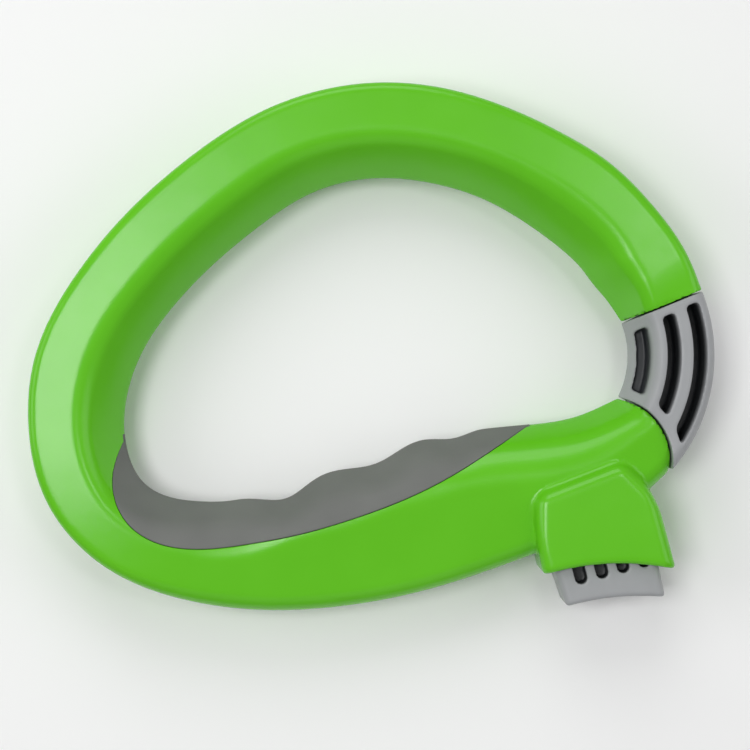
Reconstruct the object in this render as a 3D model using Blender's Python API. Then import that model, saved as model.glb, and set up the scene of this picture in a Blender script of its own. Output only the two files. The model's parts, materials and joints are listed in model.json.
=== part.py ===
"""Ring-shaped carrying handle whose gate opens when a thumb button is pressed.

The handle lies on its back: +X runs along its length, +Y from the hand grip to the hoop, and +Z
up through its depth. The origin is at the middle of the footprint. Lengths are written in
millimetres and scaled to metres when a mesh is made.

Two green shells meet at the parting plane. They hold the gate on a steel pin in the head, the
two springs, and the button, which slides in the collar and pushes the gate's lever.
"""
import math

import bmesh
import bpy
import numpy as np
from mathutils import Matrix, Vector

MM = 0.001

# ---- driving dimensions (mm, degrees) ----
PARTING_Z = 14.0            # height of the plane where the shells meet
HALF_DEPTH = 14.0           # hoop and collar, from the parting plane to the outer flat
HANDLE_HALF_DEPTH = 12.2    # the hand grip and the head are slimmer
GATE_HALF_DEPTH = 12.8
WALL = 2.2
GAP = 0.3                   # left between pieces that meet
MERGE = 0.002               # corners closer than this become one
RIM_RADIUS = 2.2            # rounded outer edge of the ring
HANDLE_RIM_RADIUS = 4.5
HANDLE_TILT = 0.13          # the handle's flat falls this much for each mm towards its rim
SEAM_WALL = 0.6             # half height of the upright strip around the hole
STEEP_RUN, STEEP_RISE = 2.9, 6.5    # the steep face from that strip to the chamfer's foot

# The gate, the arm's end and the head share these circles.
GATE_CENTRE = np.array((44.2, -2.2))
GATE_INNER, GATE_CREASE, GATE_OUTER = 23.6, 29.8, 45.8
GATE_RIM_RADIUS = 3.0
GATE_SLOTS = ((25.7, 29.4, 3.3), (33.2, 36.8, 2.7), (40.0, 43.6, 2.4))  # radii, gap to the arm
SLOT_FLOOR = 1.0            # half the web between the slots of the two faces
SLOT_CORNER = 1.1
ARM_ANGLE = 22.3            # the arm ends on this radius
PIVOT = np.array((61.0, -30.3))
HEAD_RADIUS = 17.4          # the head's round end, about the pivot
HEAD_STARTS = 0.93          # where the ring starts to bulge towards the head, of its length
SLOTS_FROM_PIVOT = 20.4     # the gate's slots end on this circle

# The button slides along PRESS, and its mouth is in a collar under the head.
PRESS_ANGLE = 105.0
BUTTON_HALF_DEPTH = 10.4
BUTTON_SIDES = (-19.8, 7.3)     # across the slide, measured from the pivot
CHANNEL_HALF_DEPTH = 11.0
FLANGE_GROWTH = 1.4             # the button's inner end is this much wider on each side

PIN_RADIUS, PIN_HALF_LENGTH = 2.0, 10.4
HUB_RADIUS = 5.0
LEVER_LENGTH = 12.5
TONGUE_HALF_DEPTH = 3.2
LEVER_HALF_WIDTH = 2.5

GRIP_THICKNESS = 2.0
GRIP_SPAN = (0.53, 0.93)    # the grip's stretch of the ring, of its length
GRIP_FADE = 0.02            # the hollow narrows over this much at the grip's ends
ARM_END_WALL = 0.019        # the closed end of the arm, of the ring's length
GROOVE_CRESTS = (-36.0, -11.7, 12.7, 30.0)  # x of the ridges between the fingers
GROOVE_DEPTHS = (2.6, 1.8, 1.2)

SCREW_PLACES = ((72.6, 20.0), (46.0, 44.0), (-5.0, 56.5), (-55.0, 27.0),
                (-77.0, -28.0), (-38.0, -60.0), (12.0, -54.0), (42.5, -36.0))
SCREW_RADIUS, SCREW_HEAD_RADIUS, SCREW_LENGTH = 1.3, 2.6, 13.0
SCREW_SEAT = 6.5            # below the parting plane

# The free-form stretch of the ring, from the arm round the hoop to the head. Each row has a point
# on the edge of the hole, the point across from it on the outer edge, the width of the chamfer
# at the hole, and the half depth.
RING_ROWS = (
    (54.8, 22.4, 62.6, 48.1, 9.8, 14.0),
    (46.9, 29.2, 51.0, 55.5, 10.2, 14.0),
    (33.0, 38.1, 38.5, 61.6, 9.6, 14.0),
    (16.9, 43.7, 20.2, 67.6, 9.4, 14.0),
    (-0.4, 45.1, -3.5, 69.0, 9.4, 14.0),
    (-16.7, 40.9, -26.6, 62.8, 9.5, 14.0),
    (-31.1, 31.5, -46.0, 51.0, 9.5, 14.0),
    (-44.2, 20.3, -62.4, 36.9, 9.4, 14.0),
    (-56.0, 7.0, -75.8, 21.2, 9.4, 14.0),
    (-64.0, -8.3, -87.6, -0.8, 9.6, 14.0),
    (-65.8, -23.3, -89.6, -23.0, 9.0, 14.0),
    (-62.2, -34.1, -84.5, -41.5, 8.2, 13.8),
    (-54.8, -39.4, -70.5, -57.2, 8.0, 13.2),
    (-45.9, -40.9, -51.5, -65.9, 8.2, 12.5),
    (-36.7, -40.6, -35.0, -69.0, 8.4, 12.2),
    (-24.5, -37.4, -18.0, -69.3, 8.5, 12.2),
    (-11.9, -33.4, -3.0, -67.8, 8.6, 12.2),
    (0.5, -29.0, 10.5, -65.2, 8.8, 12.2),
    (12.9, -24.7, 24.0, -61.4, 9.0, 12.2),
    (21.9, -22.8, 33.5, -58.1, 8.8, 12.2),
    (30.6, -21.5, 43.0, -54.6, 8.6, 12.2),
    (44.7, -20.1, 56.5, -48.4, 8.6, 12.2),
    (56.0, -17.7, 69.0, -41.0, 7.6, 12.2),
)
GRIP_OUTLINE = ((-56.0, -17.0), (-65.6, -24.5), (-68.0, -32.1), (-66.9, -40.5), (-63.0, -46.8),
                (-56.5, -51.0), (-47.6, -52.8), (-31.8, -51.5), (-16.1, -48.3), (-0.4, -43.4),
                (15.3, -36.8), (27.9, -29.5), (37.3, -23.4), (46.0, -16.0))
# across the slide and along it, from the pivot; the mouth's arc closes the outline
COLLAR_OUTLINE = ((10.9, -29.6), (11.1, -18.7), (10.7, -10.2), (8.2, -6.6), (5.6, -1.4),
                  (3.6, -0.7), (-17.2, -2.9), (-20.2, -5.4), (-23.3, -16.7), (-23.2, -23.4))
MOUTH = ((-22.6, -24.1), (-6.2, -25.5), (9.8, -31.1))
BUTTON_END = ((-19.3, -33.9), (-6.4, -34.8), (6.8, -38.3))

SLIDE = np.array((math.sin(math.radians(PRESS_ANGLE)), -math.cos(math.radians(PRESS_ANGLE))))
PRESS = np.array((math.cos(math.radians(PRESS_ANGLE)), math.sin(math.radians(PRESS_ANGLE))))


# ---- scene and materials ----
def clear_scene():
    for obj in list(bpy.data.objects):
        bpy.data.objects.remove(obj, do_unlink=True)


def material(name, colour, roughness, metallic=0.0):
    made = bpy.data.materials.new(name)
    made.use_nodes = True
    shader = made.node_tree.nodes["Principled BSDF"]
    shader.inputs["Base Color"].default_value = (*colour, 1.0)
    shader.inputs["Roughness"].default_value = roughness
    shader.inputs["Metallic"].default_value = metallic
    return made


# ---- plane geometry (mm) ----
def polar(centre, radius, degrees):
    angle = math.radians(degrees)
    return np.array(centre) + radius * np.array((math.cos(angle), math.sin(angle)))


def from_slide(across, along):
    """The place that lies across and along the button's slide, from the pivot."""
    return PIVOT + across * SLIDE + along * PRESS


def arc_through(first, middle, last, count):
    """Points on the circle through three places, from the first to the last."""
    a, b, c = (np.array(point, dtype=float) for point in (first, middle, last))
    rows = np.array((b - a, c - a))
    centre = np.linalg.solve(2 * rows, np.array((b @ b - a @ a, c @ c - a @ a)))
    start, end = (math.atan2(*(point - centre)[::-1]) for point in (a, c))
    turn = (end - start + math.pi) % (2 * math.pi) - math.pi
    radius = np.linalg.norm(a - centre)
    return [polar(centre, radius, math.degrees(start + turn * i / (count - 1)))
            for i in range(count)]


def spline(rows, places):
    """A natural cubic spline through the rows, read at places from 0 to 1 along its length."""
    rows = np.array(rows, dtype=float)
    steps = np.linalg.norm(np.diff(rows[:, :4], axis=0), axis=1)
    knots = np.concatenate(((0.0,), np.cumsum(steps)))
    size = len(knots)
    system, right = np.eye(size), np.zeros_like(rows)
    for i in range(1, size - 1):
        before, after = steps[i - 1], steps[i]
        system[i, i - 1:i + 2] = before, 2 * (before + after), after
        right[i] = 6 * ((rows[i + 1] - rows[i]) / after - (rows[i] - rows[i - 1]) / before)
    bend = np.linalg.solve(system, right)
    read = []
    for place in places:
        at = place * knots[-1]
        i = min(max(int(np.searchsorted(knots, at)) - 1, 0), size - 2)
        gap, low, high = steps[i], at - knots[i], knots[i + 1] - at
        read.append(bend[i] * high ** 3 / (6 * gap) + bend[i + 1] * low ** 3 / (6 * gap)
                    + (rows[i] / gap - bend[i] * gap / 6) * high
                    + (rows[i + 1] / gap - bend[i + 1] * gap / 6) * low)
    return read


def grow_outline(points, distance):
    """The closed outline moved outward; its points run anticlockwise."""
    points = [np.array(point, dtype=float) for point in points]
    grown = []
    for i, point in enumerate(points):
        ahead = points[(i + 1) % len(points)] - points[i - 1]
        normal = np.array((ahead[1], -ahead[0])) / np.linalg.norm(ahead)
        grown.append(point + distance * normal)
    return grown


# ---- mesh helpers ----
def to_object(name, work):
    bmesh.ops.recalc_face_normals(work, faces=work.faces)
    mesh = bpy.data.meshes.new(name)
    work.to_mesh(mesh)
    work.free()
    obj = bpy.data.objects.new(name, mesh)
    PARTS.objects.link(obj)
    return obj


def at_height(point, height, side):
    """A point in metres; height is measured from the parting plane, on the side +1 or -1."""
    return Vector((point[0] * MM, point[1] * MM, (PARTING_Z + side * height) * MM))


def loft(name, sections, side, floor):
    """A closed solid through sections of (point, height); floor is their common lower height,
    or None for sections that are mirrored below the parting plane."""
    work = bmesh.new()
    rings = []
    for section in sections:
        upper = [work.verts.new(at_height(point, height, side)) for point, height in section]
        lower = [work.verts.new(at_height(point, -height if floor is None else floor, side))
                 for point, height in section]
        rings.append(upper + lower[::-1])
    count = len(rings[0])
    for before, after in zip(rings, rings[1:]):
        for i in range(count):
            j = (i + 1) % count
            work.faces.new((before[i], before[j], after[j]))
            work.faces.new((before[i], after[j], after[i]))
    for ring in (rings[0], rings[-1]):
        for i in range(count // 2 - 1):
            work.faces.new((ring[i], ring[i + 1], ring[count - 2 - i], ring[count - 1 - i]))
    return to_object(name, work)


def slab(name, outline, low, high, side=1, round_top=0.0):
    """An outline extruded between two heights from the parting plane."""
    work = bmesh.new()
    face = work.faces.new([work.verts.new(at_height(point, low, side)) for point in outline])
    raised = bmesh.ops.extrude_face_region(work, geom=[face])["geom"]
    moved = [item for item in raised if isinstance(item, bmesh.types.BMVert)]
    bmesh.ops.translate(work, verts=moved, vec=(0, 0, side * (high - low) * MM))
    if round_top:
        top = [edge for edge in work.edges if all(vert in moved for vert in edge.verts)]
        bmesh.ops.bevel(work, geom=top, offset=round_top * MM, segments=2, affect="EDGES",
                        profile=0.5)
    return to_object(name, work)


def post(name, centre, radius, low, high, side=1, corners=20):
    """An upright cylinder between two heights from the parting plane."""
    work = bmesh.new()
    middle = at_height(centre, (low + high) / 2, side)
    bmesh.ops.create_cone(work, cap_ends=True, segments=corners, radius1=radius * MM,
                          radius2=radius * MM, depth=abs(high - low) * MM,
                          matrix=Matrix.Translation(middle))
    return to_object(name, work)


def slide_box(name, across, along, low, high, side=1):
    """A block squared to the button's slide."""
    outline = [from_slide(across[i], along[j]) for i, j in ((0, 0), (1, 0), (1, 1), (0, 1))]
    return slab(name, outline, low, high, side)


def combine(target, others, operation):
    """Apply one Boolean for each of the others, which are used up, and merge the corners that
    the cuts leave within a hair of each other."""
    for other in others:
        modifier = target.modifiers.new(operation, "BOOLEAN")
        modifier.operation = operation
        modifier.solver = "EXACT"
        modifier.object = other
        view = bpy.context.evaluated_depsgraph_get()
        joined = bpy.data.meshes.new_from_object(target.evaluated_get(view))
        target.modifiers.clear()
        target.data = joined
        bpy.data.objects.remove(other, do_unlink=True)
    work = bmesh.new()
    work.from_mesh(target.data)
    bmesh.ops.remove_doubles(work, verts=work.verts, dist=MERGE * MM)
    work.to_mesh(target.data)
    work.free()
    return target


def set_origin(obj, point):
    """Put the object's origin at a place on its joint's axis, leaving the shape where it is."""
    target = Vector(point)
    obj.data.transform(Matrix.Translation(-target))
    obj.location = target


def shade(obj, finish):
    obj.data.materials.clear()
    obj.data.materials.append(finish)
    obj.data.shade_smooth()
    obj.data.set_sharp_from_angle(angle=math.radians(35))


# ---- the ring's sections ----
def head_arc(radial, radius):
    """A place on the head's round end, at this distance from the gate's centre."""
    to_centre = GATE_CENTRE - PIVOT
    span = np.linalg.norm(to_centre)
    opening = math.acos((radius ** 2 + span ** 2 - radial ** 2) / (2 * radius * span))
    return polar(PIVOT, radius, math.degrees(math.atan2(to_centre[1], to_centre[0]) - opening))


def head_bulge(share, radius):
    """How far the head's round end stands out from the straight line across it."""
    ends = [head_arc(radial, radius) for radial in (GATE_INNER, GATE_OUTER)]
    radial = GATE_INNER + share * (GATE_OUTER - GATE_INNER)
    return head_arc(radial, radius) - ends[0] - share * (ends[1] - ends[0])


def groove_depth(x):
    """Depth of the finger grooves at this place along the grip."""
    for start, end, depth in zip(GROOVE_CRESTS, GROOVE_CRESTS[1:], GROOVE_DEPTHS):
        if start < x < end:
            return depth * math.sin(math.pi * (x - start) / (end - start)) ** 2
    return 0.0


def ring_rows():
    """All rows of the ring: its concentric right end, the free-form part, the head's end."""
    chamfer = GATE_CREASE - GATE_INNER
    rows = []
    for degrees, inner, outer, wider, half in ((ARM_ANGLE, GATE_INNER, GATE_OUTER, 0.0, 13.6),
                                               (36.0, GATE_INNER, 46.8, 1.8, 14.0),
                                               (52.0, 24.2, 48.9, 2.8, 14.0)):
        rows.append((*polar(GATE_CENTRE, inner, degrees),
                     *polar(GATE_CENTRE, outer, degrees), chamfer + wider, half))
    rows.extend(RING_ROWS)
    rows.append((*head_arc(GATE_INNER, HEAD_RADIUS), *head_arc(GATE_OUTER, HEAD_RADIUS),
                 chamfer, HANDLE_HALF_DEPTH))
    return rows


def ring_stations(count, start, end_radius):
    """Places across the ring: hole edge, outer edge, chamfer, half depth, and share of the
    head's bulge. The last one lies on the head's round end of the given radius."""
    places = np.linspace(start, 1.0, count)
    rows = spline(ring_rows(), places)
    stations = []
    for place, row in zip(places, rows):
        inner, outer, chamfer, half = row[:2], row[2:4], row[4], min(row[5], HALF_DEPTH)
        across = (outer - inner) / np.linalg.norm(outer - inner)
        depth = groove_depth(inner[0]) if inner[1] < 0 else 0.0
        blend = min(max((place - HEAD_STARTS) / (1 - HEAD_STARTS), 0.0), 1.0) ** 2
        stations.append((inner + depth * across, outer, chamfer - depth, half, blend))
    last = stations[-1]
    ends = [head_arc(radial, end_radius) for radial in (GATE_INNER, GATE_OUTER)]
    stations[-1] = (*ends, last[2], last[3], 1.0)
    return stations


def inset_corners(points, inset):
    """The rising faces round the hole moved into the material; the first keeps its height."""
    directions = [(b - a) / np.linalg.norm(b - a) for a, b in zip(points, points[1:])]
    directions.append(np.array((1.0, 0.0)))
    inward = [np.array((along[1], -along[0])) for along in directions]
    moved = [points[0] + np.array((inset / inward[0][0], 0.0))]
    for point, before, after in zip(points[1:], inward, inward[1:]):
        moved.append(point + inset * (before + after) / (1 + before @ after))
    return moved


def ring_section(station, side_inset, inset, radius, fine):
    """One section's upper points, as (place, height), set in from the outer surface."""
    inner, outer, chamfer, half, blend = station
    width = np.linalg.norm(outer - inner)
    slim = (HALF_DEPTH - half) / (HALF_DEPTH - HANDLE_HALF_DEPTH)
    full_rim = RIM_RADIUS + slim * (HANDLE_RIM_RADIUS - RIM_RADIUS)
    rim = max(full_rim - side_inset, 0.8)
    flat_end = width - side_inset - rim
    corners = inset_corners([np.array((0.0, SEAM_WALL)), np.array((STEEP_RUN, STEEP_RISE)),
                             np.array((chamfer, half))], inset)
    profile = [tuple(corner) for corner in corners]

    def top(distance):
        return half - inset - slim * HANDLE_TILT * (distance - chamfer)

    middle = (profile[-1][0] + flat_end) / 2
    if fine:
        profile.append((middle, top(middle)))
    for degrees in (90, 45, 0) if fine else (90, 0):
        angle = math.radians(degrees)
        profile.append((flat_end + rim * math.cos(angle),
                        top(flat_end) - rim + rim * math.sin(angle)))
    section = []
    for distance, height in profile:
        share = distance / width
        place = inner + share * (outer - inner) + blend * head_bulge(share, radius)
        section.append((place, height))
    return section


def ring_solid(name, side, inset, floor):
    """The half ring, or a smaller copy inside it for inset > 0."""
    sections = [ring_section(station, inset, inset, HEAD_RADIUS, inset == 0)
                for station in ring_stations(60, 0.0, HEAD_RADIUS)]
    return loft(name, sections, side, floor)


def cavity_solid(side, count):
    """The hollow inside a shell; it keeps clear of the recess that the grip lies in."""
    end_radius = HEAD_RADIUS - WALL
    sections = []
    for i, station in enumerate(ring_stations(count, ARM_END_WALL, end_radius)):
        place = ARM_END_WALL + (1 - ARM_END_WALL) * i / (count - 1)
        away = max(GRIP_SPAN[0] - place, place - GRIP_SPAN[1], 0.0)
        extra = (GRIP_THICKNESS + GAP) * max(1.0 - away / GRIP_FADE, 0.0)
        sections.append(ring_section(station, WALL, WALL + extra, end_radius, False))
    return loft("cavity", sections, side, -1.0)


# ---- pieces ----
def grip_prism(name, side, growth):
    """Everything inside the grip's outline, from below the parting plane to above the ring."""
    edge = spline([(*point, 0, 0) for point in GRIP_OUTLINE], np.linspace(0, 1, 34))
    return slab(name, grow_outline([row[:2] for row in edge], growth), -2.0, 20.0, side)


def make_grip(name, side, finish):
    """The soft pad: the skin of the ring inside the grip's outline."""
    pad = ring_solid(name, side, 0.0, GAP / 2)
    combine(pad, [grip_prism("outline", side, 0.0)], "INTERSECT")
    combine(pad, [ring_solid("core", side, GRIP_THICKNESS, -1.0)], "DIFFERENCE")
    shade(pad, finish)
    return pad


def collar_outline():
    mouth = arc_through(*MOUTH, 7)
    return [from_slide(*point) for point in (*mouth, *COLLAR_OUTLINE)]


def button_channel(side):
    """The slide for the button: narrow at the mouth, wider inside for its flange."""
    left, right = BUTTON_SIDES[0] - 0.4, BUTTON_SIDES[1] + 0.4
    narrow = slide_box("narrow", (left, right), (-46.0, -22.9), -1.0, CHANNEL_HALF_DEPTH, side)
    wide = slide_box("wide", (left - FLANGE_GROWTH, right + FLANGE_GROWTH), (-23.0, -13.8),
                     -1.0, CHANNEL_HALF_DEPTH, side)
    window = slide_box("window", (-13.0, 3.2), (-14.0, -7.8), -1.2, 4.2, side)
    return [narrow, wide, window]


def tongue_slot(side):
    """The slot in the head's end wall that the gate's tongue swings through."""
    near, far = HEAD_RADIUS - WALL - 4.0, HEAD_RADIUS + 1.5
    outline = [polar(PIVOT, far, degrees) for degrees in range(4, 70, 8)]
    outline += [polar(PIVOT, near, degrees) for degrees in range(68, 3, -8)]
    return slab("slot", outline, -1.0, TONGUE_HALF_DEPTH + 0.5, side)


def make_shell(name, side, finish):
    """One green half; side is +1 in front and -1 at the back."""
    front = side > 0
    roof = HANDLE_HALF_DEPTH - WALL
    shell = ring_solid(name, side, 0.0, GAP / 2)
    collar = slab("collar", collar_outline(), GAP / 2, HALF_DEPTH, side, 1.5)
    combine(shell, [collar], "UNION")

    cavity = cavity_solid(side, 46)
    solids = [post("boss", place, 3.0 if front else 4.4, GAP / 2, 20.0, side, 16)
              for place in SCREW_PLACES]
    solids.append(post("pin boss", PIVOT, 3.6, 8.8 if front else 3.6, 20.0, side))
    solids.append(slide_box("spring seat", (-5.0, 3.0), (-7.4, -5.8), GAP / 2, 20.0, side))
    if front:
        solids.append(post("spring stop", polar(PIVOT, 8.2, 205), 1.3, 6.0, 20.0, side, 12))
    combine(cavity, solids, "DIFFERENCE")

    combine(shell, [cavity], "DIFFERENCE")
    combine(shell, button_channel(side), "DIFFERENCE")
    recess = combine(grip_prism("recess", side, GAP),
                     [ring_solid("core", side, GRIP_THICKNESS + GAP, -3.0)], "DIFFERENCE")
    holes = [recess, tongue_slot(side),
             post("pin hole", PIVOT, PIN_RADIUS + GAP, -1.0, roof + 0.8, side)]
    for place in SCREW_PLACES:
        if front:
            holes.append(post("pilot", place, SCREW_RADIUS + GAP, -1.0, 7.4, side, 12))
        else:
            holes.append(post("clearance", place, SCREW_RADIUS + GAP, -1.0, 8.0, side, 12))
            holes.append(post("counterbore", place, SCREW_HEAD_RADIUS + GAP, SCREW_SEAT,
                              20.0, side, 16))
    combine(shell, holes, "DIFFERENCE")
    shade(shell, finish)
    return shell


def gate_slot(inner, outer, from_arm, side):
    """A slot along an arc: square to the arm's end, clear of the head, with rounded corners."""
    def place(radial, at_arm, set_back):
        if at_arm:
            end = ARM_ANGLE - math.degrees(math.asin(from_arm / radial))
            return polar(GATE_CENTRE, radial, end - math.degrees(set_back / radial))
        low = head_arc(radial, SLOTS_FROM_PIVOT) - GATE_CENTRE
        end = math.degrees(math.atan2(low[1], low[0]))
        return polar(GATE_CENTRE, radial, end + math.degrees(set_back / radial))

    outline = []
    for radial, towards, at_arm, into in ((outer, -1, False, True), (outer, -1, True, False),
                                          (inner, 1, True, True), (inner, 1, False, False)):
        corner = [place(radial + towards * part * SLOT_CORNER, at_arm, (1 - part) ** 2 * SLOT_CORNER)
                  for part in (1.0, 0.3, 0.0)]
        outline += corner if into else corner[::-1]
        if into:
            first, last = (corner[-1] - GATE_CENTRE, place(radial, not at_arm, SLOT_CORNER)
                           - GATE_CENTRE)
            turns = [math.degrees(math.atan2(point[1], point[0])) for point in (first, last)]
            outline += [polar(GATE_CENTRE, radial, turns[0] + (turns[1] - turns[0]) * i / 5)
                        for i in range(1, 5)]
    return slab("slot", outline, SLOT_FLOOR, 20.0, side)


def make_gate(name, finish):
    """The swinging gate: slotted sector, tongue, hub and the lever that the button pushes."""
    near, far = HEAD_RADIUS + 0.4, ARM_ANGLE
    half, rim = GATE_HALF_DEPTH, GATE_RIM_RADIUS
    flat = np.linspace(GATE_CREASE, GATE_OUTER - rim, 4)
    profile = [(GATE_INNER, SEAM_WALL), (GATE_INNER + STEEP_RUN, STEEP_RISE)]
    profile += [(radial, half) for radial in flat]
    profile += [(GATE_OUTER - 0.3 * rim, half - 0.3 * rim), (GATE_OUTER, half - rim)]
    steps = 7
    sections = []
    for i in range(steps + 1):
        section = []
        for radial, height in profile:
            gap_angle = math.degrees(0.4 / radial)
            low = head_arc(radial, near) - GATE_CENTRE
            start, end = far - gap_angle, math.degrees(math.atan2(low[1], low[0]))
            section.append((polar(GATE_CENTRE, radial, start + (end - start) * i / steps),
                            height))
        sections.append(section)
    gate = loft(name, sections, 1, None)
    slots = [gate_slot(*slot, side) for side in (1, -1) for slot in GATE_SLOTS]
    combine(gate, slots, "DIFFERENCE")

    thick = TONGUE_HALF_DEPTH
    tongue = [polar(PIVOT, 3.0, degrees) for degrees in (36, 66)]
    tongue += [polar(PIVOT, HEAD_RADIUS + 1.4, degrees) for degrees in (66, 56, 46, 36)]
    peg = polar(PIVOT, 9.1, 63.0)
    additions = [slab("tongue", tongue, -thick, thick),
                 post("hub", PIVOT, HUB_RADIUS, -thick, thick),
                 slide_box("lever", (-LEVER_LENGTH, 0.0), (-LEVER_HALF_WIDTH, LEVER_HALF_WIDTH),
                           -thick, thick),
                 post("peg", peg, 0.9, 0.0, 5.6, 1, 12)]
    combine(gate, additions, "UNION")
    combine(gate, [post("bore", PIVOT, PIN_RADIUS + GAP, -6.0, 6.0)], "DIFFERENCE")
    set_origin(gate, at_height(PIVOT, 0.0, 1))
    shade(gate, finish)
    return gate


def make_button(name, finish):
    """The thumb button: a drafted block with a hollowed end, a flange and a pusher."""
    left, right = BUTTON_SIDES
    end = arc_through(*BUTTON_END, 9)
    outline = [from_slide(*point) for point in (*end, (right, -18.5), (left, -18.5))]
    button = slab(name, outline, -BUTTON_HALF_DEPTH, BUTTON_HALF_DEPTH)
    edges = FLANGE_GROWTH - 0.1
    flange = slide_box("flange", (left - edges, right + edges), (-22.6, -18.5),
                       -BUTTON_HALF_DEPTH, BUTTON_HALF_DEPTH)
    pusher = slide_box("pusher", (-12.0, -9.0), (-19.5, -3.1), -3.0, 3.0)
    combine(button, [flange, pusher], "UNION")
    cutters = [slide_box("spring pocket", (-4.3, 2.3), (-27.6, -17.0), -3.3, 3.3)]
    pitch, half_width, tip = 5.7, 1.65, -29.2
    for i in range(4):
        middle = -13.6 + i * pitch
        for side in (1, -1):
            outline = [(middle + half_width, -23.4), (middle - half_width, -23.4)]
            outline += [(middle - half_width * math.cos(math.radians(turn)),
                         tip + half_width - half_width * math.sin(math.radians(turn)))
                        for turn in range(0, 181, 30)]
            outline = [from_slide(*point) for point in outline]
            cutters.append(slab("slot", outline, 4.6, 20.0, side))
    combine(button, cutters, "DIFFERENCE")
    set_origin(button, at_height(from_slide(-6.2, -26.0), 0.0, 1))
    shade(button, finish)
    return button


def coil_curve(name, points, wire_radius, finish):
    """A round wire along the points (mm), made a closed mesh."""
    curve = bpy.data.curves.new(name, "CURVE")
    curve.dimensions = "3D"
    curve.bevel_depth = wire_radius * MM
    curve.bevel_resolution = 2
    curve.use_fill_caps = True
    line = curve.splines.new("POLY")
    line.points.add(len(points) - 1)
    for point, place in zip(line.points, points):
        point.co = (*(np.array(place) * MM), 1.0)
    guide = bpy.data.objects.new(name + " guide", curve)
    PARTS.objects.link(guide)
    mesh = bpy.data.meshes.new_from_object(
        guide.evaluated_get(bpy.context.evaluated_depsgraph_get()))
    bpy.data.objects.remove(guide, do_unlink=True)
    work = bmesh.new()
    work.from_mesh(mesh)
    bmesh.ops.remove_doubles(work, verts=work.verts, dist=0.00001)
    obj = to_object(name, work)
    shade(obj, finish)
    return obj


def make_torsion_spring(name, finish):
    """The gate's closing spring: a coil round the pin with two straight legs."""
    coil_radius, wire, per_turn = 3.4, 0.45, 12
    low, high = PARTING_Z + 4.0, PARTING_Z + 8.2
    start, end = 119.3, 119.3 + 3 * 360 + 175.0
    count = int((end - start) / 360 * per_turn)
    points = [(*(polar(polar(PIVOT, coil_radius, start), 8.6, start - 90)), low)]
    for i in range(count + 1):
        place = polar(PIVOT, coil_radius, start + (end - start) * i / count)
        points.append((*place, low + (high - low) * i / count))
    points.append((*(polar(polar(PIVOT, coil_radius, end), 8.6, end + 90)), high))
    return coil_curve(name, points, wire, finish)


def make_button_spring(name, finish):
    """The compression spring between the button's pocket and the seat in the shells."""
    coil_radius, wire, turns, per_turn = 2.4, 0.35, 6, 12
    low, high = -27.2, -7.8
    across = -1.0
    count = turns * per_turn
    points = []
    for i in range(count + 1):
        angle = 2 * math.pi * i / per_turn
        along = low + wire + (high - low - 2 * wire) * i / count
        place = from_slide(across + coil_radius * math.cos(angle), along)
        points.append((*place, PARTING_Z + coil_radius * math.sin(angle)))
    return coil_curve(name, points, wire, finish)


def make_screw(name, place, finish):
    """A pan-head self-tapping screw, put in from the back."""
    depth = -SCREW_SEAT - GAP
    profile = ((0.0, depth - 1.8), (1.9, depth - 1.8), (SCREW_HEAD_RADIUS, depth - 1.1),
               (SCREW_HEAD_RADIUS, depth), (SCREW_RADIUS, depth),
               (SCREW_RADIUS, depth + SCREW_LENGTH - 1.0), (0.0, depth + SCREW_LENGTH))
    work = bmesh.new()
    verts = [work.verts.new((radius * MM, 0, height * MM)) for radius, height in profile]
    edges = [work.edges.new(pair) for pair in zip(verts, verts[1:])]
    bmesh.ops.spin(work, geom=verts + edges, axis=(0, 0, 1), cent=(0, 0, 0), steps=12,
                   angle=2 * math.pi)
    bmesh.ops.remove_doubles(work, verts=work.verts, dist=0.00001)
    obj = to_object(name, work)
    obj.location = at_height(place, 0.0, 1)
    shade(obj, finish)
    return obj


# ---- the assembly ----
clear_scene()
PARTS = bpy.data.collections.new("ring_carrying_handle")
bpy.context.scene.collection.children.link(PARTS)

green = material("green satin ABS", (0.13, 0.45, 0.035), 0.42)
grip_grey = material("dark grey soft grip", (0.16, 0.165, 0.158), 0.78)
gate_grey = material("light grey plastic", (0.36, 0.37, 0.37), 0.5)
button_grey = material("light grey button plastic", (0.36, 0.37, 0.37), 0.5)
steel = material("pin steel", (0.6, 0.6, 0.6), 0.3, 1.0)
spring_steel = material("spring steel", (0.5, 0.5, 0.5), 0.35, 1.0)
zinc = material("zinc-plated screw", (0.62, 0.6, 0.55), 0.35, 1.0)

make_shell("front_shell", 1, green)
make_shell("rear_shell", -1, green)
make_grip("front_grip_pad", 1, grip_grey)
make_grip("rear_grip_pad", -1, grip_grey)
make_gate("gate", gate_grey)
make_button("release_button", button_grey)
pin = post("gate_pivot_pin", PIVOT, PIN_RADIUS, -PIN_HALF_LENGTH, PIN_HALF_LENGTH)
shade(pin, steel)
make_torsion_spring("gate_torsion_spring", spring_steel)
make_button_spring("button_return_spring", spring_steel)
for index, place in enumerate(SCREW_PLACES, 1):
    make_screw(f"screw_{index}", place, zinc)
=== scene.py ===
"""The looks of a ring-shaped carrying handle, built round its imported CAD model.

Each moulded piece is described by a field: a function that is negative inside the piece, zero
on its surface and positive outside. surface_net() turns a field into a mesh of even quads that
lie exactly on the surface. Lengths are in millimetres until a mesh is made.
"""

import json
import math
from types import SimpleNamespace

import bmesh
import bpy
import numpy as np
from mathutils import Matrix, Vector
from mathutils.kdtree import KDTree


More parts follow.
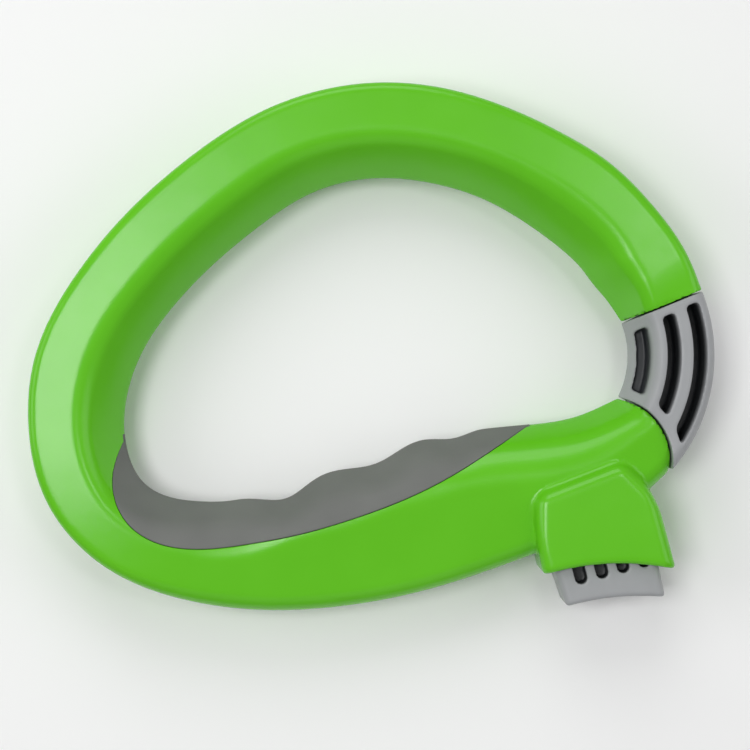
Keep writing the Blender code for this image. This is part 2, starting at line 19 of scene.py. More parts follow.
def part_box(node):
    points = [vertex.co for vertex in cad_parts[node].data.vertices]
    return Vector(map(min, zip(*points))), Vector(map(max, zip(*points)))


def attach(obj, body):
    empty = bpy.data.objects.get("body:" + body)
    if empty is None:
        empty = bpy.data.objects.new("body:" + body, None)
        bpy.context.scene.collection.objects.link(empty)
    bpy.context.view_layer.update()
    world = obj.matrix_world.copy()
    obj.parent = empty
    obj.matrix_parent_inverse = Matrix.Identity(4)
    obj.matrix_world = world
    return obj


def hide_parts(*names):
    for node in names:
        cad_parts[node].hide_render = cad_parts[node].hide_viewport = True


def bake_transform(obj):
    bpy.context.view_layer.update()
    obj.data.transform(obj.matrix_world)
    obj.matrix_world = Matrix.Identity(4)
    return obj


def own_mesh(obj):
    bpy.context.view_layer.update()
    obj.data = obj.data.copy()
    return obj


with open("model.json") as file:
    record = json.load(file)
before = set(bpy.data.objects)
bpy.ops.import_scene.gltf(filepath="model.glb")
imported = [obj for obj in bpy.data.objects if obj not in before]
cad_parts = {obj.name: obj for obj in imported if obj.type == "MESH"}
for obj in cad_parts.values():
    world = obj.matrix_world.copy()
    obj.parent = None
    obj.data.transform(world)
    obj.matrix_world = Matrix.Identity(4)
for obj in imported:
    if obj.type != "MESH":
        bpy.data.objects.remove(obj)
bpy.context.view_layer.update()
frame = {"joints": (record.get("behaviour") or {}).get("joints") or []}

MM = 0.001
JOINTS = {joint["name"]: joint for joint in frame["joints"]}
PIVOT = np.array(JOINTS["gate_swing"]["pos_m"][:2]) / MM
PARTING = JOINTS["gate_swing"]["pos_m"][2] / MM
PRESS = np.array(JOINTS["button_press"]["axis"][:2])
SLIDE = np.array((PRESS[1], -PRESS[0]))

HOOP_HALF, HANDLE_HALF, GATE_HALF = 14.0, 12.2, 12.8
SEAM_WALL = 0.6             # half height of the upright strip around the hole
STEEP_RUN, STEEP_RISE = 2.9, 6.5    # the steep face from that strip to the chamfer's foot
HANDLE_TILT = 0.13          # the handle's flat falls this much for each mm towards its rim
HOOP_RIM, SLIM_RIM = 2.2, 2.3       # the outer edge's radius, and what the handle adds to it
HOOP_CREASE, SLIM_CREASE = 2.4, 3.0     # the same for the crease between chamfer and flat
WALL = 2.2
GAP = 0.15                  # half the seam between the shells
SKIRT = 3.4                 # fields of the front half are closed this far under the seam
HEAD_RADIUS = 17.4

# The gate, the arm's end and the head share these circles.
GATE_CENTRE = np.array((44.2, -2.2))
GATE_INNER, GATE_CREASE, GATE_OUTER = 23.6, 29.8, 45.8
GATE_RIM = 3.0
GATE_SLOTS = ((25.7, 29.4, 3.3), (33.2, 36.8, 2.7), (40.0, 43.6, 2.4))  # radii, gap to the arm
GATE_SLOT_DRAFT = 0.045
SLOTS_FROM_PIVOT = 20.4     # the gate's slots end on this circle
SLOT_FLOOR = 1.0            # half the web between the slots of the two faces
ARM_ANGLE = 22.3            # the arm ends on this radius
BELOW_HEAD = -65.0          # no part of the gate's sector lies past this angle
HUB_RADIUS, PIN_HOLE = 5.0, 2.15
TONGUE_HALF = 3.2
TONGUE_MIDDLE, TONGUE_SPREAD = 51.0, 15.0   # degrees round the pivot
LEVER_LENGTH, LEVER_HALF_WIDTH = 12.5, 2.5
PEG = (9.1, 63.0, 0.9, 5.6)     # distance and angle from the pivot, radius, height
GROOVE_CRESTS = (-36.0, -11.7, 12.7, 30.0)
GROOVE_DEPTHS = (2.6, 1.8, 1.2)
SCREW_SEAT = 6.5            # below the parting plane
SCREW_PLACES = [tuple((np.array(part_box(f"screw_{i}")[0]) + np.array(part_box(f"screw_{i}")[1]))[:2]
                      / 2 / MM) for i in range(1, 9)]

CAMERA_PLACE = (0.9, -7.2, 604.0)
CAMERA_TARGET = (0.9, -7.2, 14.0)
CAMERA_LENS = 106.1
AMBIENT = 0.24
# name, place in metres, width and watts
SOFTBOXES = (("left overhead", (-0.235, 0.0, 0.90), 0.27, 2.5),
             ("right overhead", (0.23, 0.10, 0.92), 0.11, 0.5),
             ("far", (-0.15, 0.9, 0.80), 0.7, 4.2), ("near", (0.1, -0.9, 0.7), 0.7, 0.5),
             ("left", (-0.95, 0.1, 0.65), 0.6, 2.6), ("right", (0.95, 0.1, 0.7), 0.7, 2.2))

# edge of the hole, point across on the outer edge, width of the chamfer, half depth
RING_ROWS = (
    (54.8, 22.4, 62.6, 48.1, 9.8, 14.0),
    (46.9, 29.2, 51.0, 55.5, 10.2, 14.0),
    (33.0, 38.1, 38.5, 61.6, 9.6, 14.0),
    (16.9, 43.7, 20.2, 67.6, 9.4, 14.0),
    (-0.4, 45.1, -3.5, 69.0, 9.4, 14.0),
    (-16.7, 40.9, -26.6, 62.8, 9.5, 14.0),
    (-31.1, 31.5, -46.0, 51.0, 9.5, 14.0),
    (-44.2, 20.3, -62.4, 36.9, 9.4, 14.0),
    (-56.0, 7.0, -75.8, 21.2, 9.4, 14.0),
    (-64.0, -8.3, -87.6, -0.8, 9.6, 14.0),
    (-65.8, -23.3, -89.6, -23.0, 9.0, 14.0),
    (-62.2, -34.1, -84.5, -41.5, 8.2, 13.8),
    (-54.8, -39.4, -70.5, -57.2, 8.0, 13.2),
    (-45.9, -40.9, -51.5, -65.9, 8.2, 12.5),
    (-36.7, -40.6, -35.0, -69.0, 8.4, 12.2),
    (-24.5, -37.4, -18.0, -69.3, 8.5, 12.2),
    (-11.9, -33.4, -3.0, -67.8, 8.6, 12.2),
    (0.5, -29.0, 10.5, -65.2, 8.8, 12.2),
    (12.9, -24.7, 24.0, -61.4, 9.0, 12.2),
    (21.9, -22.8, 33.5, -58.1, 8.8, 12.2),
    (30.6, -21.5, 43.0, -54.6, 8.6, 12.2),
    (44.7, -20.1, 56.5, -48.4, 8.6, 12.2),
    (56.0, -17.7, 69.0, -41.0, 7.6, 12.2),
)
GRIP_OUTLINE = ((-65.2, -22.9), (-68.0, -32.1), (-66.9, -40.5), (-63.0, -46.8), (-56.5, -51.0),
                (-47.6, -52.8), (-31.8, -51.5), (-16.1, -48.3), (-0.4, -43.4), (15.3, -36.8),
                (27.9, -29.5), (37.3, -23.4), (42.1, -20.3))
# a point on each edge of the collar's plan and the edge's outward direction, in the slide's axes
COLLAR_EDGES = (((-23.3, -20.0), (-1.0, -0.03)), ((-22.1, -11.5), (-0.965, 0.262)),
                ((-7.0, -1.7), (-0.11, 0.994)), ((7.9, -5.4), (0.87, 0.494)),
                ((11.0, -20.0), (1.0, 0.0)))
MOUTH = ((-22.6, -24.1), (-6.2, -25.5), (9.8, -31.1))
BUTTON_END = ((-19.3, -33.9), (-6.4, -34.8), (6.8, -38.3))
BUTTON_SIDES = (-19.8, 7.3)     # across the slide, measured from the pivot
BUTTON_HALF, CHANNEL_HALF = 10.4, 11.0
FLANGE_GROWTH = 1.4
THUMB_SLOTS = (4, -13.6, 5.7)   # how many, the middle of the first, and their pitch
THUMB_SLOT_HALF, THUMB_SLOT_TIP, THUMB_SLOT_FLOOR = 1.65, -29.2, 4.4

# The springs: a coil with two straight legs round the pin, and a compression spring.
COIL_RADIUS, COIL_LEG, COIL_HEIGHTS = 3.4, 8.6, (4.0, 8.2)
COIL_ANGLES = (119.3, 119.3 + 3 * 360 + 175.0)
PUSH_RADIUS, PUSH_TURNS, PUSH_ACROSS, PUSH_ENDS = 2.4, 6, -1.0, (-27.2, -7.8)

SHELL_CELL, CAVITY_CELL, GATE_CELL, BUTTON_CELL = 0.8, 1.6, 0.42, 0.5


# ---- plane geometry ----
def polar(centre, radius, degrees):
    angle = math.radians(degrees)
    return np.array(centre) + radius * np.array((math.cos(angle), math.sin(angle)))


def to_slide(xy):
    """Distances across and along the button's slide, from the pivot."""
    away = xy - PIVOT
    return away @ SLIDE, away @ PRESS


def from_slide(across, along):
    return PIVOT + across * SLIDE + along * PRESS


def circle_through(first, middle, last):
    a, b, c = (np.array(point, dtype=float) for point in (first, middle, last))
    rows = np.array((b - a, c - a))
    centre = np.linalg.solve(2 * rows, np.array((b @ b - a @ a, c @ c - a @ a)))
    return centre, float(np.linalg.norm(a - centre))


def spline(rows, count):
    """A natural cubic spline through the rows, spaced evenly."""
    rows = np.array(rows, dtype=float)
    steps = np.linalg.norm(np.diff(rows[:, :4], axis=0), axis=1)
    knots = np.concatenate(((0.0,), np.cumsum(steps)))
    size = len(knots)
    system, right = np.eye(size), np.zeros_like(rows)
    for i in range(1, size - 1):
        before, after = steps[i - 1], steps[i]
        system[i, i - 1:i + 2] = before, 2 * (before + after), after
        right[i] = 6 * ((rows[i + 1] - rows[i]) / after - (rows[i] - rows[i - 1]) / before)
    bend = np.linalg.solve(system, right)
    at = np.linspace(0, knots[-1], count)
    i = np.clip(np.searchsorted(knots, at) - 1, 0, size - 2)
    gap, low, high = steps[i, None], (at - knots[i])[:, None], (knots[i + 1] - at)[:, None]
    return (bend[i] * high ** 3 / (6 * gap) + bend[i + 1] * low ** 3 / (6 * gap)
            + (rows[i] / gap - bend[i] * gap / 6) * high
            + (rows[i + 1] / gap - bend[i + 1] * gap / 6) * low)


class Outline:
    """A closed anticlockwise outline that gives signed distances, with values along it."""

    def __init__(self, points, values=None):
        self.points = np.array(points)
        self.values = values
        self.tree = KDTree(len(points))
        for i, point in enumerate(points):
            self.tree.insert((point[0], point[1], 0.0), i)
        self.tree.balance()

    def measure(self, xy):
        """Distance from the outline, positive outside, and the values of the nearest place."""
        size = len(self.points)
        near = np.array([self.tree.find((x, y, 0.0))[1] for x, y in xy])
        best, signed, place = np.full(len(xy), np.inf), np.zeros(len(xy)), np.zeros(len(xy))
        for first in (near - 1, near):
            a, b = self.points[first % size], self.points[(first + 1) % size]
            along, away = b - a, xy - a
            share = np.clip((away * along).sum(1) / (along ** 2).sum(1), 0, 1)
            gap = away - share[:, None] * along
            distance = np.hypot(gap[:, 0], gap[:, 1])
            side = along[:, 0] * away[:, 1] - along[:, 1] * away[:, 0]
            closer = distance < best
            best = np.where(closer, distance, best)
            signed = np.where(closer, np.where(side > 0, -distance, distance), signed)
            place = np.where(closer, (first % size) + share, place)
        if self.values is None:
            return signed
        low = np.floor(place).astype(int)
        share = (place - low)[:, None]
        return signed, (1 - share) * self.values[low % size] + share * self.values[(low + 1) % size]


# ---- fields ----
def both(a, b, radius):
    """The overlap of two fields, with its edge rounded to this radius."""
    return (np.minimum(np.maximum(a, b), -radius)
            + np.hypot(np.maximum(a + radius, 0), np.maximum(b + radius, 0)))


def either(a, b, radius):
    """The union of two fields, with a fillet of this radius."""
    return -both(-a, -b, radius)


def block(across, along, sides, ends):
    """A rectangle in the slide's axes."""
    return np.maximum(np.abs(across - sum(sides) / 2) - (sides[1] - sides[0]) / 2,
                      np.abs(along - sum(ends) / 2) - (ends[1] - ends[0]) / 2)


def head_arc(radial, radius=HEAD_RADIUS):
    """A place on the head's round end, at this distance from the gate's centre."""
    to_centre = GATE_CENTRE - PIVOT
    span = np.linalg.norm(to_centre)
    opening = math.acos((radius ** 2 + span ** 2 - radial ** 2) / (2 * radius * span))
    return polar(PIVOT, radius, math.degrees(math.atan2(to_centre[1], to_centre[0]) - opening))


def groove_depths(x, y):
    depths = np.zeros_like(x)
    for start, end, depth in zip(GROOVE_CRESTS, GROOVE_CRESTS[1:], GROOVE_DEPTHS):
        inside = (x > start) & (x < end) & (y < 0)
        depths[inside] = depth * np.sin(math.pi * (x[inside] - start) / (end - start)) ** 2
    return depths


def ring_outlines():
    """The hole's edge, with (chamfer, half depth, groove) along it, and the outer edge."""
    rows = []
    for degrees, inner, outer, wider, half in ((ARM_ANGLE, GATE_INNER, GATE_OUTER, 0.0, 13.6),
                                               (36.0, GATE_INNER, 46.8, 1.8, 14.0),
                                               (52.0, 24.2, 48.9, 2.8, 14.0)):
        rows.append((*polar(GATE_CENTRE, inner, degrees),
                     *polar(GATE_CENTRE, outer, degrees), GATE_CREASE - GATE_INNER + wider, half))
    rows.extend(RING_ROWS)
    rows.append((*head_arc(GATE_INNER), *head_arc(GATE_OUTER), GATE_CREASE - GATE_INNER,
                 HANDLE_HALF))
    line = spline(rows, 2200)
    outlines = []
    for columns, radius in ((slice(0, 2), GATE_INNER), (slice(2, 4), GATE_OUTER)):
        end = line[-1, columns] - GATE_CENTRE
        start = math.degrees(math.atan2(end[1], end[0]))
        turns = np.linspace(start, ARM_ANGLE, 120)[1:-1]
        arc = np.array([polar(GATE_CENTRE, radius, turn) for turn in turns])
        points = np.vstack((line[:, columns], arc))
        share = np.linspace(0, 1, len(arc))[:, None]
        edge = np.array([[GATE_CREASE - GATE_INNER, HANDLE_HALF]])
        values = np.vstack((line[:, 4:], (1 - share) * edge + share * line[0, 4:]))
        values[:, 1] = np.minimum(values[:, 1], HOOP_HALF)
        grooves = groove_depths(points[:, 0], points[:, 1])[:, None]
        outlines.append(Outline(points, np.hstack((values, grooves))))
    return outlines


HOLE, OUTER = ring_outlines()


def plan_of(xy):
    """What the body's field needs to know about places in the plan."""
    plan = SimpleNamespace()
    plan.hole, values = HOLE.measure(xy)
    plan.chamfer, plan.half, plan.groove = values.T
    plan.outer = OUTER.measure(xy)[0]
    slim = (HOOP_HALF - plan.half) / (HOOP_HALF - HANDLE_HALF)
    plan.rim, plan.crease = HOOP_RIM + SLIM_RIM * slim, HOOP_CREASE + SLIM_CREASE * slim
    plan.tilt = HANDLE_TILT * slim

    across, along = to_slide(xy)
    sides = None
    for (u, v), (nu, nv) in COLLAR_EDGES:
        edge = (across - u) * nu + (along - v) * nv
        sides = edge if sides is None else both(sides, edge, 3.2)
    centre, radius = circle_through(*MOUTH)
    plan.collar = sides
    plan.mouth = radius - np.hypot(across - centre[0], along - centre[1])

    away = xy - PIVOT
    arm = math.radians(ARM_ANGLE)
    beyond_arm = (xy - GATE_CENTRE) @ np.array((-math.sin(arm), math.cos(arm)))
    zone = np.maximum(HEAD_RADIUS - np.hypot(away[:, 0], away[:, 1]), beyond_arm)
    for degrees in (-20.0, 100.0):
        turn = math.radians(degrees)
        edge = away @ np.array((-math.sin(turn), math.cos(turn)))
        zone = np.maximum(zone, -edge if degrees < 0 else edge)
    plan.gate_zone = zone
    return plan


def inner_faces(into, height, chamfer, half):
    """The strip at the seam, the steep face and the chamfer round the hole."""
    run, rise = STEEP_RUN, STEEP_RISE - SEAM_WALL
    steep = (run * (height - SEAM_WALL) - rise * into) / math.hypot(run, rise)
    run, rise = chamfer - STEEP_RUN, half - STEEP_RISE
    slope = (run * (height - STEEP_RISE) - rise * (into - STEEP_RUN)) / np.hypot(run, rise)
    return both(-into, both(steep, slope, 2.5), 0.5)


def body_field(plan, height):
    """The green body above the parting plane: the ring, with the collar blended into it."""
    flat = height - plan.half + plan.tilt * np.maximum(plan.hole - plan.chamfer, 0.0)
    upper = both(plan.outer, flat, plan.rim)
    inner = inner_faces(plan.hole - plan.groove, height, plan.chamfer - plan.groove, plan.half)
    ring = both(upper, inner, plan.crease)
    collar = both(both(plan.collar, height - 13.85, 3.4), plan.mouth, 1.3)
    return both(either(ring, collar, 1.0), -plan.gate_zone, 0.4)


def closed_body(plan, height):
    """The same body, closed some way below the parting plane."""
    return np.maximum(body_field(plan, height), -SKIRT - height)


# ---- meshing ----
def surface_net(name, plan_function, field, low, high, cell):
    """A mesh of the surface where field(plan_function(xy), height) is zero."""
    counts = [int(math.ceil((b - a) / cell)) + 1 for a, b in zip(low, high)]
    xs, ys, zs = (low[i] + cell * np.arange(counts[i]) for i in range(3))
    grid = np.stack(np.meshgrid(xs, ys, indexing="ij"), -1).reshape(-1, 2)
    plan = plan_function(grid)
    values = np.empty((counts[0], counts[1], counts[2]))
    for k, height in enumerate(zs):
        values[:, :, k] = field(plan, height).reshape(counts[0], counts[1])

    shape = tuple(count - 1 for count in counts)
    total, hits = np.zeros(shape + (3,)), np.zeros(shape)
    inside = values < 0
    crossings = []
    for axis in range(3):
        a = np.take(values, range(counts[axis] - 1), axis)
        b = np.take(values, range(1, counts[axis]), axis)
        cut = (a < 0) != (b < 0)
        share = np.where(cut, a / np.where(cut, a - b, 1), 0)
        index = np.stack(np.meshgrid(*[np.arange(n) for n in a.shape], indexing="ij"), -1)
        place = index.astype(float)
        place[..., axis] += share
        others = [i for i in range(3) if i != axis]
        for first in (0, 1):
            for second in (0, 1):
                # the four cells round an edge: the edge's own, and one step back each way
                source, target = [slice(None)] * 3, [slice(None)] * 3
                for other, step in zip(others, (first, second)):
                    source[other] = slice(step, shape[other] + step)
                    target[other] = slice(0, shape[other])
                chosen = cut[tuple(source)]
                total[tuple(target)] += place[tuple(source)] * chosen[..., None]
                hits[tuple(target)] += chosen
        crossings.append(cut)
    used = hits > 0
    number = np.full(shape, -1)
    number[used] = np.arange(used.sum())
    points = np.array(low) + cell * (total[used] / hits[used][:, None])

    faces = []
    for axis, cut in enumerate(crossings):
        others = [(axis + 1) % 3, (axis + 2) % 3]
        index = np.argwhere(cut)
        for other in others:
            index = index[(index[:, other] > 0) & (index[:, other] < shape[other])]
        corners = []
        for first, second in ((1, 1), (0, 1), (0, 0), (1, 0)):
            cell_index = index.copy()
            cell_index[:, others[0]] -= first
            cell_index[:, others[1]] -= second
            corners.append(number[tuple(cell_index.T)])
        quads = np.stack(corners, 1)
        outward = inside[tuple(index.T)]
        quads[~outward] = quads[~outward][:, ::-1]
        faces.append(quads)
    faces = np.vstack(faces)
    points = settle(points, plan_function, field, cell)
    return mesh_object(name, points, faces)


def settle(points, plan_function, field, cell):
    """Moves points onto the surface along the field's slope."""
    step = 0.05 * cell
    start = points.copy()
    for _ in range(3):
        plans = [plan_function(points[:, :2] + np.array(shift) * step)
                 for shift in ((0, 0), (1, 0), (-1, 0), (0, 1), (0, -1))]
        height = points[:, 2]
        value = field(plans[0], height)
        slope = np.stack(((field(plans[1], height) - field(plans[2], height)),
                          (field(plans[3], height) - field(plans[4], height)),
                          (field(plans[0], height + step) - field(plans[0], height - step))),
                         1) / (2 * step)
        size = np.maximum((slope ** 2).sum(1), 0.2)
        points = points - slope * (value / size)[:, None]
        drift = points - start
        far = np.maximum(np.linalg.norm(drift, axis=1) / cell, 1.0)
        points = start + drift / far[:, None]
    return points


def mesh_object(name, points, faces):
    """A mesh of points in mm, whose heights are measured from the parting plane."""
    mesh = bpy.data.meshes.new(name)
    placed = (np.asarray(points, dtype=float) + (0, 0, PARTING)) * MM
    mesh.from_pydata(placed.tolist(), [], [list(map(int, face)) for face in faces])
    mesh.update()
    obj = bpy.data.objects.new(name, mesh)
    bpy.context.scene.collection.objects.link(obj)
    return obj


def face_outward(obj):
    """Turns every face of a closed mesh outward."""
    work = bmesh.new()
    work.from_mesh(obj.data)
    bmesh.ops.recalc_face_normals(work, faces=work.faces)
    work.to_mesh(obj.data)
    work.free()
    return obj


def slab(name, outline, low, high):
    """A plan outline extruded between two heights."""
    count = len(outline)
    points = [(*point, low) for point in outline] + [(*point, high) for point in outline]
    faces = [tuple(range(count))[::-1], tuple(range(count, 2 * count))]
    faces += [(i, (i + 1) % count, count + (i + 1) % count, count + i) for i in range(count)]
    return face_outward(mesh_object(name, points, faces))


def post(name, centre, radius, low, high, corners=48):
    return slab(name, [polar(centre, radius, 360 * i / corners) for i in range(corners)],
                low, high)


def slide_box(name, across, along, low, high):
    outline = [from_slide(across[i], along[j]) for i, j in ((0, 0), (1, 0), (1, 1), (0, 1))]
    return slab(name, outline, low, high)


def combine(target, others, operation, solver="MANIFOLD"):
    """Applies a Boolean with each of the others, which are used up."""
    for other in others:
        modifier = target.modifiers.new(operation, "BOOLEAN")
        modifier.operation, modifier.solver, modifier.object = operation, solver, other
        view = bpy.context.evaluated_depsgraph_get()
        joined = bpy.data.meshes.new_from_object(target.evaluated_get(view))
        target.modifiers.clear()
        target.data = joined
        bpy.data.objects.remove(other, do_unlink=True)
    return target


def copy_of(source, name):
    made = bpy.data.objects.new(name, source.data.copy())
    bpy.context.scene.collection.objects.link(made)
    return made


def flip(obj):
    """Turns a front piece into the matching back piece."""
    about = Matrix.Translation((0, 0, 2 * PARTING * MM)) @ Matrix.Diagonal((1, 1, -1, 1))
    obj.data.transform(about)
    obj.data.flip_normals()
    return obj


def finish_piece(obj, finish, body, slot, *nodes, sharp=35):
    """Paints a piece, hangs it on its body and lets it stand for its CAD nodes."""
    obj.data.materials.clear()
    obj.data.materials.append(finish)
    obj.data.shade_smooth()
    obj.data.set_sharp_from_angle(angle=math.radians(sharp))
    if body:
        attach(obj, body)
    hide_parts(*nodes)


# ---- materials ----
class Shader:
    """A Principled material, with short ways to add procedural detail to it."""

    def __init__(self, name, roughness, **sockets):
        self.material = bpy.data.materials.new(name)
        self.material.use_nodes = True
        self.tree = self.material.node_tree
        self.surface = self.tree.nodes["Principled BSDF"]
        self.surface.inputs["Roughness"].default_value = roughness
        for socket, value in sockets.items():
            self.surface.inputs[socket.replace("_", " ")].default_value = value
        coordinates = self.tree.nodes.new("ShaderNodeTexCoord")
        self.place = coordinates.outputs["Object"]

    def link(self, source, target):
        self.tree.links.new(source, target)

    def noise(self, size_mm, detail=2.0, roughness=0.5):
        """Noise whose features are about this large."""
        node = self.tree.nodes.new("ShaderNodeTexNoise")
        node.inputs["Scale"].default_value = 1.0 / (size_mm * MM)
        node.inputs["Detail"].default_value = detail
        node.inputs["Roughness"].default_value = roughness
        self.link(self.place, node.inputs["Vector"])
        return node.outputs["Fac"]

    def spread(self, source, low, high):
        """The value mapped from the noise's usual range to low..high."""
        node = self.tree.nodes.new("ShaderNodeMapRange")
        node.inputs["From Min"].default_value = 0.3
        node.inputs["From Max"].default_value = 0.7
        node.inputs["To Min"].default_value = low
        node.inputs["To Max"].default_value = high
        self.link(source, node.inputs["Value"])
        return node.outputs["Result"]

    def colours(self, source, *stops):
        """A colour ramp over (position, (r, g, b)) stops."""
        node = self.tree.nodes.new("ShaderNodeValToRGB")
        ramp = node.color_ramp
        while len(ramp.elements) < len(stops):
            ramp.elements.new(0.5)
        for element, (position, colour) in zip(ramp.elements, stops):
            element.position, element.color = position, (*colour, 1.0)
        self.link(source, node.inputs["Fac"])
        return node.outputs["Color"]

    def bump(self, *layers):
        """Bumps of (height source, depth in mm), from coarse to fine."""
        normal = None
        for source, depth in layers:
            node = self.tree.nodes.new("ShaderNodeBump")
            node.inputs["Strength"].default_value = 1.0
            node.inputs["Distance"].default_value = depth * MM
            self.link(source, node.inputs["Height"])
            if normal is not None:
                self.link(normal, node.inputs["Normal"])
            normal = node.outputs["Normal"]
        self.link(normal, self.surface.inputs["Normal"])


def green_plastic():
    shader = Shader("green satin ABS", 0.3, Specular_IOR_Level=0.35)
    flow = shader.noise(26.0, 2.0)
    shader.link(shader.colours(flow, (0.3, (0.118, 0.53, 0.010)), (0.7, (0.130, 0.56, 0.014))),
                shader.surface.inputs["Base Color"])
    shader.link(shader.spread(shader.noise(4.0, 3.0), 0.215, 0.235),
                shader.surface.inputs["Roughness"])
    shader.bump((shader.noise(9.0, 1.0), 0.05), (shader.noise(0.45, 2.0, 0.6), 0.012))
    return shader.material


def soft_grip():
    shader = Shader("dark grey soft grip", 0.72)
    flow = shader.noise(12.0, 3.0)
    shader.link(shader.colours(flow, (0.3, (0.150, 0.155, 0.147)), (0.7, (0.172, 0.178, 0.168))),
                shader.surface.inputs["Base Color"])
    shader.link(shader.spread(shader.noise(3.0, 3.0), 0.66, 0.78),
                shader.surface.inputs["Roughness"])
    shader.bump((shader.noise(0.35, 3.0, 0.6), 0.016))
    return shader.material


def grey_plastic(name, pockets):
    """Light grey moulded plastic; a stored attribute darkens the deep slots with painted shade."""
    shader = Shader(name, 0.45)
    flow = shader.noise(10.0, 3.0)
    base = shader.colours(flow, (0.3, (0.325, 0.335, 0.345)), (0.7, (0.36, 0.37, 0.38)))
    # painted shade: the slots are mixed towards the dark pockets colour, standing in for their
    # shadow
    depth = shader.tree.nodes.new("ShaderNodeAttribute")
    depth.attribute_name = "slot_shade"
    mix = shader.tree.nodes.new("ShaderNodeMix")
    mix.data_type = "RGBA"
    shader.link(depth.outputs["Fac"], mix.inputs["Factor"])
    shader.link(base, mix.inputs["A"])
    mix.inputs["B"].default_value = (*pockets, 1.0)
    shader.link(mix.outputs["Result"], shader.surface.inputs["Base Color"])
    shader.link(shader.spread(shader.noise(2.5, 3.0), 0.4, 0.5),
                shader.surface.inputs["Roughness"])
    shader.bump((shader.noise(0.4, 2.0, 0.6), 0.01))
    return shader.material


def metal(name, colour, roughness, grain_mm):
    shader = Shader(name, roughness, Metallic=1.0)
    darker = tuple(0.82 * part for part in colour)
    shader.link(shader.colours(shader.noise(grain_mm, 3.0), (0.3, darker), (0.7, colour)),
                shader.surface.inputs["Base Color"])
    shader.bump((shader.noise(0.2, 2.0), 0.004))
    return shader.material


# ---- the green shells ----
def shell_cavity():
    """The hollow of the front shell, before its bosses are taken from it."""
    return surface_net("cavity", plan_of, lambda plan, height: closed_body(plan, height) + WALL,
                       (-91, -70, -4.6), (91, 70, 15.0), CAVITY_CELL)


def button_channel():
    left, right = BUTTON_SIDES[0] - 0.4, BUTTON_SIDES[1] + 0.4
    narrow = slide_box("narrow", (left, right), (-46.0, -22.9), -1.0, CHANNEL_HALF)
    wide = slide_box("wide", (left - FLANGE_GROWTH, right + FLANGE_GROWTH), (-23.0, -13.8),
                     -1.0, CHANNEL_HALF)
    window = slide_box("window", (-13.0, 3.2), (-14.0, -7.8), -1.2, 4.2)
    return [narrow, wide, window]


def tongue_slot():
    near, far = HEAD_RADIUS - WALL - 4.0, HEAD_RADIUS + 1.5
    outline = [polar(PIVOT, far, turn) for turn in np.linspace(4, 68, 24)]
    outline += [polar(PIVOT, near, turn) for turn in np.linspace(68, 4, 24)]
    return slab("slot", outline, -1.0, TONGUE_HALF + 0.5)


def grip_patch(lift, depth, growth):
    """A skin over the inside of the handle, between the parting plane and the grip's outline.

    Each station looks out from a point inside the handle's section, and finds the surface
    along rays from the parting plane up to the outline."""
    line = spline([(*point, 0, 0) for point in GRIP_OUTLINE], 900)[:, :2]
    size = len(HOLE.points)
    near = [int(np.argmin(((HOLE.points - end) ** 2).sum(1))) for end in (line[0], line[-1])]
    margin = int(growth / 0.25)
    chosen = np.linspace(near[0] - margin, near[1] + margin, 190).astype(int) % size
    base = HOLE.points[chosen]
    ahead = HOLE.points[(chosen + 3) % size] - HOLE.points[chosen - 3]
    ahead /= np.linalg.norm(ahead, axis=1)[:, None]
    inward = np.stack((ahead[:, 1], -ahead[:, 0]), 1)
    reach = []
    for point, normal, forward in zip(base, inward, ahead):
        offset = line - point
        beside = np.abs(offset @ forward)
        into = offset @ normal
        beside[into < -0.5] = 1e9
        reach.append(max(into[np.argmin(beside)], 0.35) + growth)
    reach = np.array(reach)
    grooves = HOLE.values[chosen, 2]
    half = HOLE.values[chosen, 1]
    centre_in = np.maximum(reach, 5.0) * 0.7 + 1.5 + grooves
    centre_up = np.full(len(base), 2.0)

    def on_surface(angles, level):
        """Where rays at these angles from the centres cross the surface raised by level."""
        low, high = np.zeros(len(base)), np.full(len(base), 30.0)
        for _ in range(26):
            middle = (low + high) / 2
            into = centre_in - middle * np.cos(angles)
            up = centre_up + middle * np.sin(angles)
            plan = plan_of(base + into[:, None] * inward)
            outside = body_field(plan, up) > level
            high = np.where(outside, middle, high)
            low = np.where(outside, low, middle)
        into = centre_in - low * np.cos(angles)
        return np.column_stack((base + into[:, None] * inward, centre_up + low * np.sin(angles)))

    low, high = np.full(len(base), GAP), half + 1.0
    plan = plan_of(base + reach[:, None] * inward)
    for _ in range(26):
        middle = (low + high) / 2
        outside = body_field(plan, middle) > 0
        high, low = np.where(outside, middle, high), np.where(outside, low, middle)
    foot = np.arctan2(GAP - centre_up, centre_in - grooves)
    rim = np.arctan2(low - centre_up, centre_in - reach)
    steps = 30
    outer_rows, inner_rows = [], []
    for step in range(steps + 1):
        share = step / steps
        angles = foot + (rim - foot) * share
        outer_rows.append(on_surface(angles, lift))
        inner_rows.append(on_surface(angles, -depth))
    for rows in (outer_rows, inner_rows):
        rows[0][:, 2] = GAP
    return outer_rows, inner_rows


